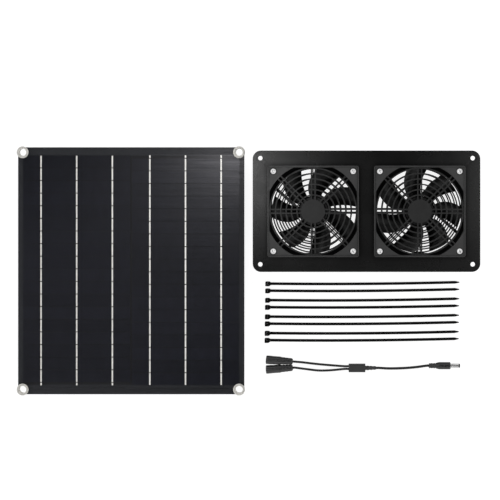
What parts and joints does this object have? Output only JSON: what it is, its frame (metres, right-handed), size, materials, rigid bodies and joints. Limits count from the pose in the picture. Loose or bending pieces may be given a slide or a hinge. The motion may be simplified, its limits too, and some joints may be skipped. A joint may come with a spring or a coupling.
{
  "type": "solar attic fan",
  "caption": "Twin-fan ventilation plate with a thin solar panel, a Y-splitter cable and cable ties, laid out flat as a kit.",
  "frame": {"origin": "middle of the plate's four mounting holes, on the plate's back face", "axes": "+X along the plate's length, +Y across it away from the cable ties, +Z out of the plate's front, up when the kit lies flat"},
  "size_m": [0.6196, 0.3346, 0.0432],
  "materials": {
    "plate_black": "satin powder coat",
    "guard_plastic": "fine moulded grain",
    "fan_plastic": "semi-gloss moulded",
    "screw_steel": "bright plated",
    "zinc_steel": "zinc plated",
    "rotor_steel": "drawn sheet steel",
    "magnet": "bonded ferrite",
    "shaft_steel": "ground",
    "bearing_steel": "ground",
    "spring_steel": "drawn wire",
    "core_steel": "stacked laminations",
    "copper_wire": "enamelled copper wire",
    "board": "solder mask",
    "sticker": "plain foil label",
    "cable_black": "soft PVC",
    "connector_black": "moulded PVC, semi-gloss",
    "insulator": "moulded",
    "nickel": "nickel plated",
    "backsheet": "laminate edge",
    "solar_cell": "dark silicon with fine grid",
    "ribbon": "tinned copper ribbon",
    "panel_film": "clear laminate with slight haze",
    "eyelet": "rolled, satin",
    "box_plastic": "moulded",
    "diode_body": "moulded epoxy",
    "tie_nylon": "moulded nylon"
  },
  "bodies": {
    "fan_unit": {"mounting_plate": "plate_black", "front_guard_left": "guard_plastic", "front_guard_right": "guard_plastic", "rear_guard_left": "guard_plastic", "rear_guard_right": "guard_plastic", "guard_screws": "screw_steel", "lock_washers": "zinc_steel", "guard_nuts": "zinc_steel", "fan_frame_left": "fan_plastic", "fan_frame_right": "fan_plastic", "outer_races_left": "bearing_steel", "outer_races_right": "bearing_steel", "stator_core_left": "core_steel", "stator_core_right": "core_steel", "windings_left": "copper_wire", "windings_right": "copper_wire", "driver_board_left": "board", "driver_board_right": "board", "base_sticker_left": "sticker", "base_sticker_right": "sticker", "fan_lead_left": "cable_black", "fan_lead_right": "cable_black", "fan_plug_shells": "connector_black", "fan_plug_barrels": "nickel", "fan_plug_insulators": "insulator"},
    "impeller_left": {"impeller_left": "fan_plastic", "rotor_yoke_left": "rotor_steel", "magnet_ring_left": "magnet", "shaft_left": "shaft_steel", "inner_races_left": "bearing_steel", "preload_spring_left": "spring_steel", "shaft_clip_left": "spring_steel"},
    "impeller_right": {"impeller_right": "fan_plastic", "rotor_yoke_right": "rotor_steel", "magnet_ring_right": "magnet", "shaft_right": "shaft_steel", "inner_races_right": "bearing_steel", "preload_spring_right": "spring_steel", "shaft_clip_right": "spring_steel"},
    "solar_panel": {"panel_backsheet": "backsheet", "panel_cells": "solar_cell", "panel_ribbons": "ribbon", "panel_film": "panel_film", "panel_eyelets": "eyelet", "junction_box": "box_plastic", "junction_box_lid": "box_plastic", "blocking_diode": "diode_body", "panel_lead": "cable_black", "panel_socket": "connector_black", "panel_socket_contacts": "nickel"},
    "splitter": {"splitter_socket_upper": "connector_black", "splitter_socket_lower": "connector_black", "splitter_contacts": "nickel", "splitter_wires": "cable_black", "splitter_block": "connector_black", "splitter_cable": "cable_black", "splitter_plug_shell": "connector_black", "splitter_plug_barrel": "nickel", "splitter_plug_insulator": "insulator"},
    "ties": {"cable_ties": "tie_nylon"}
  },
  "joints": [
    {"name": "fan_left_spin", "type": "hinge", "parent": "fan_unit", "child": "impeller_left", "pos_m": [-0.07, 0, 0], "axis": [0, 0, 1], "continuous": true},
    {"name": "fan_right_spin", "type": "hinge", "parent": "fan_unit", "child": "impeller_right", "pos_m": [0.07, 0, 0], "axis": [0, 0, 1], "continuous": true},
    {"name": "panel_lift", "type": "slide", "parent": "fan_unit", "child": "solar_panel", "axis": [0, 0, 1], "range_m": [0, 0.06]},
    {"name": "splitter_lift", "type": "slide", "parent": "fan_unit", "child": "splitter", "axis": [0, 0, 1], "range_m": [0, 0.06]},
    {"name": "ties_lift", "type": "slide", "parent": "fan_unit", "child": "ties", "axis": [0, 0, 1], "range_m": [0, 0.06]}
  ]
}
